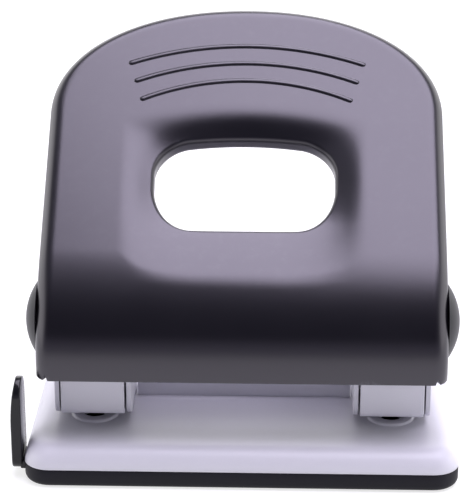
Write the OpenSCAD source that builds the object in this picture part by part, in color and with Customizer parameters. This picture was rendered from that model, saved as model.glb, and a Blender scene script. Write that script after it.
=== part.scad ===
// Two-hole desk punch: pressed-steel handle over two punch towers on a hollow base.
// X runs across the punch, Y from the paper side to the back, Z up.
// The origin is on the table, midway between the two punched holes.

/* [Punching] */
// Distance between the two hole centres
hole_spacing = 80; // [60:1:110]
// Diameter of the punch pins
pin_d = 6; // [5:0.1:7]
// Distance from the hole centres back to the paper stop
stop_distance = 12; // [10:0.5:16]
// Height of the paper slot under the punch guides
slot_h = 2.8; // [2.2:0.1:4]
// Height of the paper slot under the tower cheeks
cheek_lift = 2; // [1.2:0.1:2.2]
// How far the pin tip sits above the slot at rest
tip_recess = 0.25; // [0.1:0.05:0.8]

/* [Base] */
// Height of the base's flat top above the table
base_top = 10.6; // [9.5:0.1:16]
// Distance from the hole centres to the front edge
base_front = 23.6; // [21:0.2:32]
// Distance from the hole centres to the rear edge
base_rear = 68; // [50:1:90]
// How far the base stands out beyond the handle at each side
base_margin = 3.7; // [2:0.1:8]
// Radius of the rolled edge around the base
base_edge_r = 5.5; // [4:0.1:6.5]
// Radius of the base's corners in plan
base_corner_r = 7; // [6.6:0.1:14]
// Thickness of the steel of the base, towers and guides
sheet_t = 1.2; // [0.9:0.1:1.6]
// Diameter of the raised ring around each die hole
die_ring_d = 12.6; // [10:0.1:15]
// Height of the raised ring
die_ring_h = 0.6; // [0.3:0.1:0.8]

/* [Chip tray] */
// Thickness of the tray's floor
tray_floor = 1.2; // [0.9:0.1:1.4]
// Radius of the tray's lower edge
tray_edge_r = 3.4; // [2.6:0.1:4]
// Height of the lip that plugs into the base
tray_lip_h = 1.5; // [0.8:0.1:2.5]
// Thickness of that lip
tray_lip_t = 0.8; // [0.7:0.1:1.4]

/* [Towers] */
// Width of a punch guide
guide_w = 17; // [14:0.2:20]
// Distance from a pin's axis to the front of its guide
guide_front = 7.35; // [6.6:0.05:10]
// Distance from a pin's axis to the back ends of its guide
guide_back = 9; // [7:0.2:10]
// Gap between a guide and the cheeks beside it
cheek_gap = 0.5; // [0.3:0.05:0.8]
// How far the cheeks stand back from the guide's front
cheek_setback = 1; // [0.5:0.1:2]
// Radius of the lower front corner of a cheek
cheek_corner_r = 4; // [2:0.5:6]
// Gap between the paper stop line and the tower's rear web
web_gap = 2; // [1:0.5:4]
// Length of the foot behind the web
foot_l = 10; // [8:0.5:14]
// Diameter of the rivet shanks
rivet_d = 3; // [2:0.1:3.6]
// Height of the paper stop between the towers
stop_h = 8; // [5:0.5:12]

/* [Mechanism] */
// Distance from the hole centres forward to the hinge
hinge_ahead = 8.5; // [8:0.1:10]
// Height of the hinge above the base's top
hinge_h = 28.6; // [27:0.1:40]
// Diameter of the hinge pins
hinge_d = 5; // [4:0.1:6]
// Radius of the ear around a hinge pin
ear_r = 5; // [4:0.1:5.6]
// Distance from the hinge to the press bar
bar_arm = 9; // [8.5:0.1:11]
// Diameter of the press bar
bar_d = 4; // [3:0.1:5]
// Angle through which the handle is pressed
press_angle = 34; // [26:1:38]
// Thickness of the washer between tower and handle
washer_t = 1.9; // [1:0.1:3]
// Wire diameter of the return springs
spring_wire = 0.9; // [0.6:0.05:1.1]
// Working turns of the return springs
spring_turns = 6; // [4:1:8]

/* [Handle] */
// Thickness of the handle's steel
handle_t = 1.5; // [1:0.1:2]
// Slope of the palm panel
panel_tilt = 39.5; // [32:0.5:46]
// Length of the palm panel up its slope
panel_l = 79; // [68:1:100]
// Radius of the nose in front of the hinge
nose_r = 20.4; // [19:0.2:26]
// Radius of the brow between nose and panel
brow_r = 58.4; // [40:0.2:80]
// Slope at which the nose turns into the brow
brow_angle = 62; // [54:1:72]
// Slope at which the nose's lower edge tucks under
tuck_angle = 97; // [90:1:100]
// Height of the handle's lower edge above the base's top
handle_low = 17.6; // [12:0.1:19]
// Length up the panel that its rounded top end takes
crown_l = 34.8; // [30:0.1:50]
// Depth of the rim around the panel
rim_depth = 13; // [8:0.5:16]
// Width of the finger hole
finger_w = 48.6; // [36:0.2:60]
// Height of the finger hole up the slope
finger_h = 27.8; // [24:0.1:32]
// Distance from the foot of the panel to the hole's middle
finger_v = 21.9; // [19:0.1:24]
// Depth of the turned-in edge of the hole
finger_lip = 6.4; // [4:0.2:8]
// Distance from the panel's top end down to the uppermost grip rib
rib_margin = 14; // [12:0.5:22]
// Distance from one grip rib to the next
rib_pitch = 5.75; // [4:0.25:7]
// Width of the raised grip ribs
rib_w = 2; // [1.2:0.1:3]
// Height of the raised grip ribs
rib_h = 0.6; // [0.3:0.1:1]
// How far a pivot cap reaches beyond the axes of hinge and press bar
cap_reach = 5.8; // [5.2:0.1:7.4]
// Height of the pivot caps
cap_h = 3.5; // [3:0.1:5]

/* [Paper guide] */
// Length of the sliding ruler
ruler_l = 106; // [96:1:110]
// Width of the ruler
ruler_w = 9; // [6:0.5:9]
// Thickness of the ruler
ruler_t = 2.3; // [1.6:0.1:2.4]
// Height of the upright stop
upright_h = 25; // [18:0.5:32]
// Thickness of the upright stop
upright_t = 2.8; // [2:0.1:4]
// Length of the channel under the base
channel_l = 74; // [50:1:80]

/* [Hidden] */
$fn = 72;

// finishes
enamel = [0.74, 0.74, 0.81];
charcoal = [0.32, 0.31, 0.36];
black_plastic = [0.06, 0.06, 0.07];
tray_plastic = [0.13, 0.13, 0.16];
steel = [0.70, 0.71, 0.73];

// clearances
run_gap = 0.05;    // shaft in a bore that turns or slides on it
set_gap = 0.02;    // pin set fast in its hole
face_gap = 0.05;   // flat faces of pieces that move on each other
pin_gap = 0.1;     // head of a pin below the press bar
bar_gap = 0.9;     // press bar above the tower at full stroke
slide_gap = 0.15;  // ruler in its channel
over = 1;          // how far a cutter passes through a wall

// the swing of the press bar and what it gives the pins
half_press = press_angle / 2;
stroke = 2 * bar_arm * sin(half_press);
hinge_y = -hinge_ahead;
bar_y = hinge_y + bar_arm * cos(half_press);
bar_h = hinge_h + bar_arm * sin(half_press);
bar_low = bar_h - stroke - bar_d / 2;

// widths, each from the piece inside it
pin_x = hole_spacing / 2;
cheek_in = guide_w / 2 + cheek_gap;
cheek_out = cheek_in + sheet_t;
handle_in = pin_x + cheek_out + washer_t + 2 * face_gap;
handle_half = handle_in + handle_t;
base_half = handle_half + base_margin;

// tower heights above the base's top
tower_top = bar_low - bar_gap;
guide_sink = 0.5;
guide_top = tower_top - guide_sink;
guide_bend = 1.8;
web_y = stop_distance + web_gap;
cheek_front = -guide_front + cheek_setback;
tab_y = 1.5;
tab_l = 4;

// rivets
rivet_head_d = 1.75 * rivet_d;
rivet_head_h = 0.9;
foot_rivet_y = web_y + sheet_t + foot_l / 2;
foot_rivet_x = 5.5;
stop_foot_l = 10;
stop_rivet_y = stop_distance + sheet_t + stop_foot_l / 2;
stop_half = pin_x - cheek_out - cheek_gap;
stop_rivet_in = 11.7;
stop_rivet_x = stop_half - stop_rivet_in;

// pins, clips and springs above the base's top
tip_z = slot_h + tip_recess;
pin_top = bar_h - bar_d / 2 - pin_gap;
clip_t = 0.8;
clip_top = guide_top - sheet_t - face_gap;
groove_depth = 0.7;
groove_r = pin_d / 2 - groove_depth;
spring_low = slot_h + sheet_t + face_gap;
spring_high = clip_top - clip_t - face_gap;
spring_clear = 0.9;
spring_r = pin_d / 2 + spring_clear + spring_wire / 2;
clip_margin = 0.35;
clip_r = spring_r + spring_wire / 2 + clip_margin;

// ruler, its channel and the leaf spring under the base
skirt_z = base_top - base_edge_r;
tray_rim = skirt_z - face_gap;
ruler_top = skirt_z - 0.2;
ruler_low = ruler_top - ruler_t;
ruler_front = -base_front + base_edge_r + 0.1;
ruler_back = ruler_front + ruler_w;
under_top = base_top - sheet_t;
channel_t = 0.7;
channel_x = -base_half + base_edge_r;
upright_gap = 0.5;
upright_drop = 0.4;
upright_d = ruler_w + 1;

// studs that hold the channel stop short of the base's outer face
stud_cover = 0.4;
channel_ear_l = 9;
stud_x = [-pin_x + pin_d / 2 + channel_ear_l, channel_x + channel_l - channel_ear_l];
stud_y = ruler_back + slide_gap + channel_ear_l / 2;

// tray: its wall stands under the base's skirt and lines up with the lip inside it
tray_gap = 0.35;
lip_in = sheet_t + tray_gap;
tray_wall = lip_in + tray_lip_t;

// pivot caps, and how far the bar and the hinge pins stand out under them
cap_d = bar_arm + 2 * cap_reach;
cap_wall = 1.2;
cap_seat = 0.4;

// profile of the handle: nose, brow and panel, on Y and height above the base's top
nose_back = 9.4;
nose_drop = 6.9;
nose_c = [hinge_y + nose_back, hinge_h - nose_drop];
brow_c = nose_c + (brow_r - nose_r) * [sin(brow_angle), -cos(brow_angle)];
panel_foot = brow_c + brow_r * [-sin(panel_tilt), cos(panel_tilt)];
wall_back = 17.5;
rim_from = 31.6;
far = 160;
rib_count = 3;
rib_r = 89;
rib_r_step = 11;
rib_half = 31.7;
rib_half_step = 1.8;
finger_arch = 2.8;
finger_upper = [9.4, 8.3];
finger_lower = [10.1, 12.9];
finger_steps = 40;
crown_n = 2.12;
notch_w = 1.6;
notch_h = 2;
notch_in = 2.6;

function on_circle(c, r, a) = c + r * [-sin(a), cos(a)];
function along_panel(v, depth) =
    panel_foot + v * [cos(panel_tilt), sin(panel_tilt)]
    + depth * [sin(panel_tilt), -cos(panel_tilt)];

// points of the handle's face from its lower edge to beyond the panel's end
function face_points(inset) = concat(
    [on_circle(nose_c, nose_r - inset, tuck_angle) - far / 4 * [cos(tuck_angle), sin(tuck_angle)]],
    [for (i = [0:10]) on_circle(nose_c, nose_r - inset,
        tuck_angle + (brow_angle - tuck_angle) * i / 10)],
    [for (i = [1:8]) on_circle(brow_c, brow_r - inset,
        brow_angle + (panel_tilt - brow_angle) * i / 8)],
    [along_panel(far, inset)]
);

// one point of a superellipse
function super_pt(a, b, n, t) = [
    a * sign(cos(t)) * pow(abs(cos(t)), 2 / n),
    b * sign(sin(t)) * pow(abs(sin(t)), 2 / n)
];

// ---- helpers ----

// stretches a profile drawn on Y and Z along X
module along_x(x0, x1) {
    translate([x0, 0, 0]) rotate([90, 0, 90]) linear_extrude(x1 - x0) children();
}

// stretches a profile drawn on X and Z along Y
module along_y(y0, y1) {
    translate([0, y1, 0]) rotate([90, 0, 0]) linear_extrude(y1 - y0) children();
}

// a round bar along X
module rod(x0, x1, y, z, r) {
    translate([x0, y, z]) rotate([0, 90, 0]) cylinder(r = r, h = x1 - x0);
}

// rectangle with all four corners rounded
module round_rect(x0, x1, y0, y1, r) {
    translate([x0 + r, y0]) square([x1 - x0 - 2 * r, y1 - y0]);
    translate([x0, y0 + r]) square([x1 - x0, y1 - y0 - 2 * r]);
    for (x = [x0 + r, x1 - r], y = [y0 + r, y1 - r]) translate([x, y]) circle(r);
}

// rectangle with its two upper corners rounded
module round_top(x0, x1, y0, y1, r) {
    translate([x0 + r, y0]) square([x1 - x0 - 2 * r, y1 - y0]);
    translate([x0, y0]) square([x1 - x0, y1 - y0 - r]);
    for (x = [x0 + r, x1 - r]) translate([x, y1 - r]) circle(r);
}

// block with a rolled edge round its top, set in by a wall's thickness
module rolled_block(inset, z0, z1, edge_r) {
    half = base_half - inset;
    front = -base_front + inset;
    rear = base_rear - inset;
    intersection() {
        along_x(-half, half) round_top(front, rear, z0 - over, z1, edge_r);
        along_y(front, rear) round_top(-half, half, z0 - over, z1, edge_r);
        translate([0, 0, z0])
            linear_extrude(z1 - z0) round_rect(-half, half, front, rear, base_corner_r - inset);
    }
}

// the right-hand piece, or its mirror image on the left
module sided(side) {
    mirror([side < 0 ? 1 : 0, 0, 0]) children();
}

// lifts what is drawn above the base's top
module on_base() {
    translate([0, 0, base_top]) children();
}

// rivet set through a foot and the base's sheet
module rivet(x, y, above) {
    translate([x, y, base_top]) {
        translate([0, 0, -sheet_t - rivet_head_h]) cylinder(d = rivet_head_d, h = rivet_head_h);
        translate([0, 0, -sheet_t - rivet_head_h]) cylinder(d = rivet_d, h = sheet_t + above + rivet_head_h);
        translate([0, 0, above]) cylinder(d1 = rivet_head_d, d2 = rivet_d, h = rivet_head_h);
    }
}

module rivet_hole(x, y) {
    translate([x, y, base_top - sheet_t - over])
        cylinder(d = rivet_d + 2 * set_gap, h = 2 * sheet_t + 2 * over);
}

module foot_rivet_holes() {
    for (s = [-1, 1], t = [-1, 1]) rivet_hole(s * pin_x + t * foot_rivet_x, foot_rivet_y);
}

module stop_rivet_holes() {
    for (s = [-1, 1]) rivet_hole(s * stop_rivet_x, stop_rivet_y);
}

module stud_holes() {
    depth = base_top - stud_cover - under_top + channel_t + over;
    for (x = stud_x) translate([x, stud_y, base_top - stud_cover - depth])
        cylinder(d = rivet_d + 2 * set_gap, h = depth);
}

// ---- base and tray ----

module base_plate() {
    color(enamel)
    difference() {
        union() {
            difference() {
                rolled_block(0, skirt_z, base_top, base_edge_r);
                rolled_block(sheet_t, skirt_z - over, base_top - sheet_t, base_edge_r - sheet_t);
            }
            for (s = [-1, 1]) translate([s * pin_x, 0, base_top])
                cylinder(d1 = die_ring_d, d2 = die_ring_d - die_ring_h, h = die_ring_h);
        }
        for (s = [-1, 1]) translate([s * pin_x, 0, base_top - sheet_t - over])
            cylinder(d = pin_d + 2 * run_gap, h = sheet_t + die_ring_h + 2 * over);
        foot_rivet_holes();
        stop_rivet_holes();
        stud_holes();
    }
}

module chip_tray() {
    inner_r = tray_edge_r - tray_floor;
    color(tray_plastic)
    difference() {
        union() {
            translate([0, 0, tray_rim]) mirror([0, 0, 1]) rolled_block(0, 0, tray_rim, tray_edge_r);
            // lip that plugs into the base
            translate([0, 0, tray_rim - over]) linear_extrude(tray_lip_h + over)
                round_rect(-base_half + lip_in, base_half - lip_in, -base_front + lip_in,
                    base_rear - lip_in, base_corner_r - lip_in);
        }
        translate([0, 0, base_top]) mirror([0, 0, 1])
            rolled_block(tray_wall, 0, base_top - tray_floor, inner_r);
        // notch that the ruler slides through
        translate([-base_half - over, ruler_front - 2 * slide_gap, ruler_low - 2 * slide_gap])
            cube([tray_wall + 2 * over, ruler_w + 4 * slide_gap, base_top]);
    }
}

// ---- towers ----

// side view of a cheek; the outer ones carry the hinge ear
module cheek_profile(with_ear) {
    difference() {
        union() {
            translate([cheek_front, cheek_lift + cheek_corner_r])
                square([web_y + sheet_t - cheek_front, tower_top - cheek_lift - cheek_corner_r]);
            translate([cheek_front + cheek_corner_r, cheek_lift])
                square([web_y + sheet_t - cheek_front - cheek_corner_r, cheek_corner_r + over]);
            translate([cheek_front + cheek_corner_r, cheek_lift + cheek_corner_r]) circle(cheek_corner_r);
            translate([stop_distance, 0]) square([web_gap + sheet_t, cheek_lift + over]);
            if (with_ear) {
                translate([hinge_y, hinge_h]) circle(ear_r);
                polygon([
                    [hinge_y - ear_r, hinge_h], [cheek_front, tower_top - ear_r],
                    [hinge_y + ear_r, tower_top - ear_r], [hinge_y + ear_r, hinge_h]
                ]);
            }
        }
        // slots for the guide's tabs
        for (z = [slot_h, guide_top - sheet_t]) translate([tab_y - run_gap, z - run_gap])
            square([tab_l + 2 * run_gap, sheet_t + 2 * run_gap]);
    }
}

module tower(side) {
    color(enamel)
    sided(side) difference() {
        on_base() {
            along_x(pin_x + cheek_in, pin_x + cheek_out) cheek_profile(true);
            along_x(pin_x - cheek_out, pin_x - cheek_in) cheek_profile(false);
            translate([pin_x - cheek_out, web_y, 0]) cube([2 * cheek_out, sheet_t, tower_top]);
            translate([pin_x - cheek_out, web_y, 0]) cube([2 * cheek_out, sheet_t + foot_l, sheet_t]);
        }
        rod(pin_x, handle_half, hinge_y, base_top + hinge_h, hinge_d / 2 + set_gap);
        for (t = [-1, 1]) rivet_hole(pin_x + t * foot_rivet_x, foot_rivet_y);
    }
}

module punch_guide(side) {
    color(enamel)
    sided(side) difference() {
        on_base() union() {
            along_x(pin_x - guide_w / 2, pin_x + guide_w / 2) difference() {
                round_rect(-guide_front, guide_back + 2 * guide_bend, slot_h, guide_top, guide_bend);
                round_rect(-guide_front + sheet_t, guide_back + 4 * guide_bend, slot_h + sheet_t,
                    guide_top - sheet_t, guide_bend - sheet_t);
                translate([guide_back, 0]) square([far, far]);
            }
            for (z = [slot_h, guide_top - sheet_t]) translate([pin_x - cheek_out, tab_y, z])
                cube([2 * cheek_out, tab_l, sheet_t]);
        }
        translate([pin_x, 0, base_top]) cylinder(d = pin_d + 2 * run_gap, h = guide_top + over);
    }
}

module paper_stop() {
    color(enamel)
    difference() {
        on_base() {
            translate([-stop_half, stop_distance, 0]) cube([2 * stop_half, sheet_t, stop_h]);
            translate([-stop_half, stop_distance, 0])
                cube([2 * stop_half, sheet_t + stop_foot_l, sheet_t]);
        }
        stop_rivet_holes();
    }
}

module tower_rivets() {
    color(steel)
    for (s = [-1, 1], t = [-1, 1]) rivet(s * pin_x + t * foot_rivet_x, foot_rivet_y, sheet_t);
}

module stop_rivets() {
    color(steel)
    for (s = [-1, 1]) rivet(s * stop_rivet_x, stop_rivet_y, sheet_t);
}

// ---- handle ----

// puts what is drawn flat onto the palm panel
module on_panel() {
    translate([0, panel_foot[0], base_top + panel_foot[1]]) rotate([panel_tilt, 0, 0]) children();
}

// the panel's outline: straight sides under a crown
module panel_outline(inset) {
    a = handle_half - inset;
    b = crown_l - inset;
    polygon(concat(
        [[-a, -far], [a, -far]],
        [for (i = [0:40]) [0, panel_l - crown_l] + super_pt(a, b, crown_n, 180 * i / 40)]
    ));
}

// solid under the handle's face, set in by a wall's thickness
module handle_form(inset) {
    intersection() {
        on_base() along_x(-handle_half + inset, handle_half - inset)
            polygon(concat(face_points(inset), [[far, far], [far, -far / 4]]));
        on_panel() translate([0, 0, -far / 2]) linear_extrude(far) panel_outline(inset);
    }
}

// side view of what is kept: deep at the hinge, a rim along the panel
module handle_side() {
    polygon([
        [-far, handle_low], [hinge_y + wall_back, handle_low], along_panel(rim_from, rim_depth),
        along_panel(far, rim_depth), along_panel(far, -far / 2), [-far, far]
    ]);
}

// how far a hole's edge falls away at x, towards an elliptic corner of the given size
function corner_fall(x, a, corner) =
    let (u = max(0, (abs(x) - a + corner[0]) / corner[0]))
    corner[1] * (1 - sqrt(max(0, 1 - u * u)));

// finger hole: an arched upper edge over a straight lower one with longer corners
module finger_outline(grow) {
    a = finger_w / 2 + grow;
    b = finger_h / 2 + grow;
    round = [grow, grow];
    xs = [for (i = [0:finger_steps]) a * cos(180 * i / finger_steps)];
    translate([0, finger_v]) polygon(concat(
        [for (x = xs) [x, b - finger_arch * pow(x / a, 2) - corner_fall(x, a, finger_upper + round)]],
        [for (x = xs) [-x, corner_fall(x, a, finger_lower + round) - b]]
    ));
}

// raised rib on an arc, with round ends
module grip_rib(i) {
    r = rib_r - rib_r_step * i;
    apex = panel_l - rib_margin - rib_pitch * i;
    reach = asin((rib_half - rib_half_step * i) / r);
    translate([0, apex - r, -handle_t / 2]) linear_extrude(rib_h + handle_t / 2) {
        intersection() {
            difference() {
                circle(r + rib_w / 2);
                circle(r - rib_w / 2);
            }
            polygon([[0, 0], 2 * r * [sin(reach), cos(reach)], 2 * r * [-sin(reach), cos(reach)]]);
        }
        for (s = [-1, 1]) translate(r * [s * sin(reach), cos(reach)]) circle(rib_w / 2);
    }
}

module handle_shell() {
    notch_x = handle_half - notch_in;
    color(charcoal)
    difference() {
        union() {
            intersection() {
                difference() {
                    handle_form(0);
                    handle_form(handle_t);
                }
                on_base() along_x(-handle_half, handle_half) handle_side();
            }
            on_panel() translate([0, 0, -finger_lip])
                linear_extrude(finger_lip - handle_t / 2) finger_outline(handle_t);
            on_panel() for (i = [0:rib_count - 1]) grip_rib(i);
        }
        on_panel() translate([0, 0, -finger_lip - over])
            linear_extrude(finger_lip + 3 * over) finger_outline(0);
        // relief slits between the nose and the side walls
        for (s = [-1, 1]) on_base() along_y(-far, hinge_y) polygon([
            [s * notch_x - notch_w / 2, handle_low - over],
            [s * notch_x, handle_low + notch_h],
            [s * notch_x + notch_w / 2, handle_low - over]
        ]);
        rod(-far, far, hinge_y, base_top + hinge_h, hinge_d / 2 + run_gap);
        rod(-far, far, bar_y, base_top + bar_h, bar_d / 2 + set_gap);
    }
}

module press_bar() {
    reach = handle_half + cap_seat;
    color(steel) rod(-reach, reach, bar_y, base_top + bar_h, bar_d / 2);
}

module pivot_cap(side) {
    cap_r = (pow(cap_d / 2, 2) + pow(cap_h, 2)) / (2 * cap_h);
    hollow_r = cap_r - cap_wall;
    color(black_plastic)
    sided(side)
    translate([handle_half + face_gap, (hinge_y + bar_y) / 2, base_top + (hinge_h + bar_h) / 2])
    rotate([0, 90, 0]) rotate_extrude() intersection() {
        difference() {
            translate([0, cap_h - cap_r]) circle(cap_r, $fn = 180);
            translate([0, cap_h - cap_r]) circle(hollow_r, $fn = 180);
        }
        square([cap_d, cap_h + over]);
    }
}

module hinge_pin(side) {
    rim = 1.5;
    head_r = hinge_d / 2 + rim;
    head_t = 1.2;
    x = pin_x + cheek_in;
    color(steel)
    sided(side) {
        rod(x - head_t, x, hinge_y, base_top + hinge_h, head_r);
        rod(x - head_t, handle_half + cap_seat, hinge_y, base_top + hinge_h, hinge_d / 2);
    }
}

module pivot_washer(side) {
    x = pin_x + cheek_out + face_gap;
    rim = 2;
    color(black_plastic)
    sided(side) difference() {
        rod(x, x + washer_t, hinge_y, base_top + hinge_h, hinge_d / 2 + rim);
        rod(x - over, x + washer_t + over, hinge_y, base_top + hinge_h, hinge_d / 2 + run_gap);
    }
}

// ---- punches ----

module punch_pin(side) {
    hollow_r = pin_d;
    hollow_h = 0.8;
    color(steel)
    sided(side) translate([pin_x, 0, base_top]) difference() {
        translate([0, 0, tip_z]) cylinder(d = pin_d, h = pin_top - tip_z);
        // hollow-ground cutting end
        rod(-pin_d, pin_d, 0, tip_z + hollow_h - hollow_r, hollow_r);
        // groove for the clip
        translate([0, 0, clip_top - clip_t - set_gap]) difference() {
            cylinder(r = pin_d, h = clip_t + 2 * set_gap);
            translate([0, 0, -over]) cylinder(r = groove_r, h = clip_t + 2 * over);
        }
    }
}

module pin_clip(side) {
    snap = 0.8;
    mouth = 2 * groove_r - snap;
    color(steel)
    sided(side) translate([pin_x, 0, base_top + clip_top - clip_t]) difference() {
        cylinder(r = clip_r, h = clip_t);
        translate([0, 0, -over]) cylinder(r = groove_r + set_gap, h = clip_t + 2 * over);
        translate([-mouth / 2, 0, -over]) cube([mouth, 2 * clip_r, clip_t + 2 * over]);
    }
}

// height of the wire's middle after t turns, with one closed turn at each end
function coil_z(t) =
    let (closed = spring_wire * 1.02, all = spring_turns + 2,
         low = spring_low + spring_wire / 2, high = spring_high - spring_wire / 2)
    t < 1 ? low + closed * t
    : t > all - 1 ? high - closed * (all - t)
    : low + closed + (high - low - 2 * closed) * (t - 1) / (all - 2);

module return_spring(side) {
    sides = 6;
    steps = 14;
    all = spring_turns + 2;
    rings = all * steps;
    points = [for (k = [0:rings], j = [0:sides - 1])
        let (a = 360 * k / steps, b = 360 * j / sides, r = spring_r + spring_wire / 2 * cos(b))
        [r * cos(a), r * sin(a), coil_z(k / steps) + spring_wire / 2 * sin(b)]];
    walls = [for (k = [0:rings - 1], j = [0:sides - 1])
        [k * sides + j, k * sides + (j + 1) % sides,
         (k + 1) * sides + (j + 1) % sides, (k + 1) * sides + j]];
    ends = [[for (j = [sides - 1:-1:0]) j], [for (j = [0:sides - 1]) rings * sides + j]];
    color(steel)
    sided(side) translate([pin_x, 0, base_top]) polyhedron(points, concat(walls, ends));
}

// ---- paper guide ----

module paper_guide() {
    x1 = -base_half - upright_gap;
    low = ruler_low - upright_drop;
    mid = ruler_front + ruler_w / 2;
    color(black_plastic) {
        translate([x1 - over / 2, ruler_front, ruler_low]) cube([ruler_l + over / 2, ruler_w, ruler_t]);
        along_x(x1 - upright_t, x1) {
            translate([mid, low + upright_h - upright_d / 2]) circle(upright_d / 2);
            round_rect(mid - upright_d / 2, mid + upright_d / 2, low, low + upright_h - upright_d / 4,
                upright_d / 4);
        }
    }
}

module guide_channel() {
    inner_front = ruler_front - slide_gap;
    inner_back = ruler_back + slide_gap;
    lip = 1.5;
    low = ruler_low - slide_gap - channel_t;
    color(steel)
    difference() {
        union() {
            along_x(channel_x, channel_x + channel_l) difference() {
                translate([inner_front - channel_t, low])
                    square([ruler_w + 2 * slide_gap + 2 * channel_t, under_top - low]);
                translate([inner_front, low + channel_t])
                    square([ruler_w + 2 * slide_gap, under_top - low - 2 * channel_t]);
                translate([inner_front + lip, low - over])
                    square([ruler_w + 2 * slide_gap - 2 * lip, channel_t + 2 * over]);
                // clears the inside of the rolled edge
                translate([inner_front - channel_t, under_top])
                    rotate(45) square(channel_t, center = true);
            }
            for (x = stud_x) translate([x - channel_ear_l / 2, inner_back, under_top - channel_t])
                cube([channel_ear_l, channel_ear_l, channel_t]);
        }
        stud_holes();
    }
}

// leaf spring that holds the ruler where it is set
module guide_spring() {
    leaf_t = 0.4;
    leaf_side = 1;
    end_x = 18;
    rise_x = 12;
    flat_x = 2;
    mid = channel_x + channel_l / 2;
    high = under_top - channel_t - face_gap;
    bow = high - leaf_t - ruler_top - face_gap;
    // one half of the leaf's upper side, from its end to its middle
    half = [[end_x, 0], [rise_x, 0], [flat_x, -bow]];
    upper = concat([for (p = half) [-p[0], p[1]]], [for (i = [2:-1:0]) half[i]]);
    color(steel)
    along_y(ruler_front + leaf_side, ruler_back - leaf_side) translate([mid, high])
        polygon(concat(upper, [for (i = [5:-1:0]) upper[i] - [0, leaf_t]]));
}

module channel_studs() {
    color(steel)
    for (x = stud_x) translate([x, stud_y, under_top - channel_t - rivet_head_h]) {
        cylinder(d = rivet_head_d, h = rivet_head_h);
        cylinder(d = rivet_d, h = rivet_head_h + channel_t + sheet_t - stud_cover);
    }
}

base_plate();
chip_tray();
tower(-1);  // tower_left
tower(1);  // tower_right
punch_guide(-1);  // punch_guide_left
punch_guide(1);  // punch_guide_right
paper_stop();
tower_rivets();
stop_rivets();
handle_shell();
press_bar();
pivot_cap(-1);  // pivot_cap_left
pivot_cap(1);  // pivot_cap_right
hinge_pin(-1);  // hinge_pin_left
hinge_pin(1);  // hinge_pin_right
pivot_washer(-1);  // pivot_washer_left
pivot_washer(1);  // pivot_washer_right
punch_pin(-1);  // punch_pin_left
punch_pin(1);  // punch_pin_right
pin_clip(-1);  // pin_clip_left
pin_clip(1);  // pin_clip_right
return_spring(-1);  // return_spring_left
return_spring(1);  // return_spring_right
paper_guide();
guide_channel();
guide_spring();
channel_studs();
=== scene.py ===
import math

import bmesh
import bpy
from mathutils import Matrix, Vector


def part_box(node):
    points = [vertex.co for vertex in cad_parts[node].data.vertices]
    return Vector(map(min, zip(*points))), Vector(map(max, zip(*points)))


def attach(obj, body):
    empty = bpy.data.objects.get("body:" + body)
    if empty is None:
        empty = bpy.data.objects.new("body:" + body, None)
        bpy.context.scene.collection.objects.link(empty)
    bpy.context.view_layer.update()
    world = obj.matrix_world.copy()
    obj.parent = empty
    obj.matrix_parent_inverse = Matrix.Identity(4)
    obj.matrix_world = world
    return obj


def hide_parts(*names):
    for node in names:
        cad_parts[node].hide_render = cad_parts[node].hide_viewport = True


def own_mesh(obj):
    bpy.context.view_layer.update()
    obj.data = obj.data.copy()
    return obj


# a two-hole punch: pressed handle on two towers, base, chip tray and sliding paper guide
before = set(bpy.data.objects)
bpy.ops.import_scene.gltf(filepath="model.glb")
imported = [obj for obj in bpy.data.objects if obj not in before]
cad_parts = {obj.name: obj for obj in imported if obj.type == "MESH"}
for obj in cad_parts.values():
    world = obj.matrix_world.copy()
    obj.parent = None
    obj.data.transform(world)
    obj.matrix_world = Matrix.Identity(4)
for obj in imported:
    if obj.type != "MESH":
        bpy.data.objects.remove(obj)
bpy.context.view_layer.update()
print("frame loaded,", len(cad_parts), "nodes")

scene = bpy.context.scene
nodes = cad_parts


def recalcNormals(piece):
    bm = bmesh.new()
    bm.from_mesh(piece.data)
    bmesh.ops.recalc_face_normals(bm, faces=bm.faces)
    bm.to_mesh(piece.data)
    bm.free()


def placeMesh(name, mesh, material, body):
    # a smooth piece that moves with a body
    piece = bpy.data.objects.new(name, mesh)
    scene.collection.objects.link(piece)
    mesh.materials.append(material)
    mesh.polygons.foreach_set("use_smooth", [True] * len(mesh.polygons))
    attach(piece, body)
    return piece


def addPiece(name, verts, faces, material, body):
    mesh = bpy.data.meshes.new(name)
    mesh.from_pydata([tuple(v) for v in verts], [], faces)
    mesh.validate()
    mesh.update()
    piece = placeMesh(name, mesh, material, body)
    recalcNormals(piece)
    return piece


def fromBmesh(name, bm, material, body):
    bmesh.ops.recalc_face_normals(bm, faces=bm.faces)
    mesh = bpy.data.meshes.new(name)
    bm.to_mesh(mesh)
    bm.free()
    return placeMesh(name, mesh, material, body)


def settle(piece):
    # the modifiers become part of the mesh
    graph = bpy.context.evaluated_depsgraph_get()
    settled = bpy.data.meshes.new_from_object(piece.evaluated_get(graph))
    piece.modifiers.clear()
    piece.data = settled


def cutAway(piece, verts, faces):
    # takes a closed form out of a piece
    mesh = bpy.data.meshes.new("cutter")
    mesh.from_pydata([tuple(v) for v in verts], [], faces)
    cutter = bpy.data.objects.new("cutter", mesh)
    scene.collection.objects.link(cutter)
    recalcNormals(cutter)
    cut = piece.modifiers.new("cut", "BOOLEAN")
    cut.operation = "DIFFERENCE"
    cut.solver = "EXACT"
    cut.object = cutter
    settle(piece)
    bpy.data.objects.remove(cutter)


def softenEdges(piece, width, angle=35):
    bevel = piece.modifiers.new("soft edges", "BEVEL")
    bevel.width = width
    bevel.segments = 2
    bevel.limit_method = "ANGLE"
    bevel.angle_limit = math.radians(angle)


def lastInside(inside, low, high):
    # the largest number between low and high that is still inside, by halving
    for _ in range(60):
        middle = (low + high) / 2
        low, high = (middle, high) if inside(middle) else (low, middle)
    return low


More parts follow.
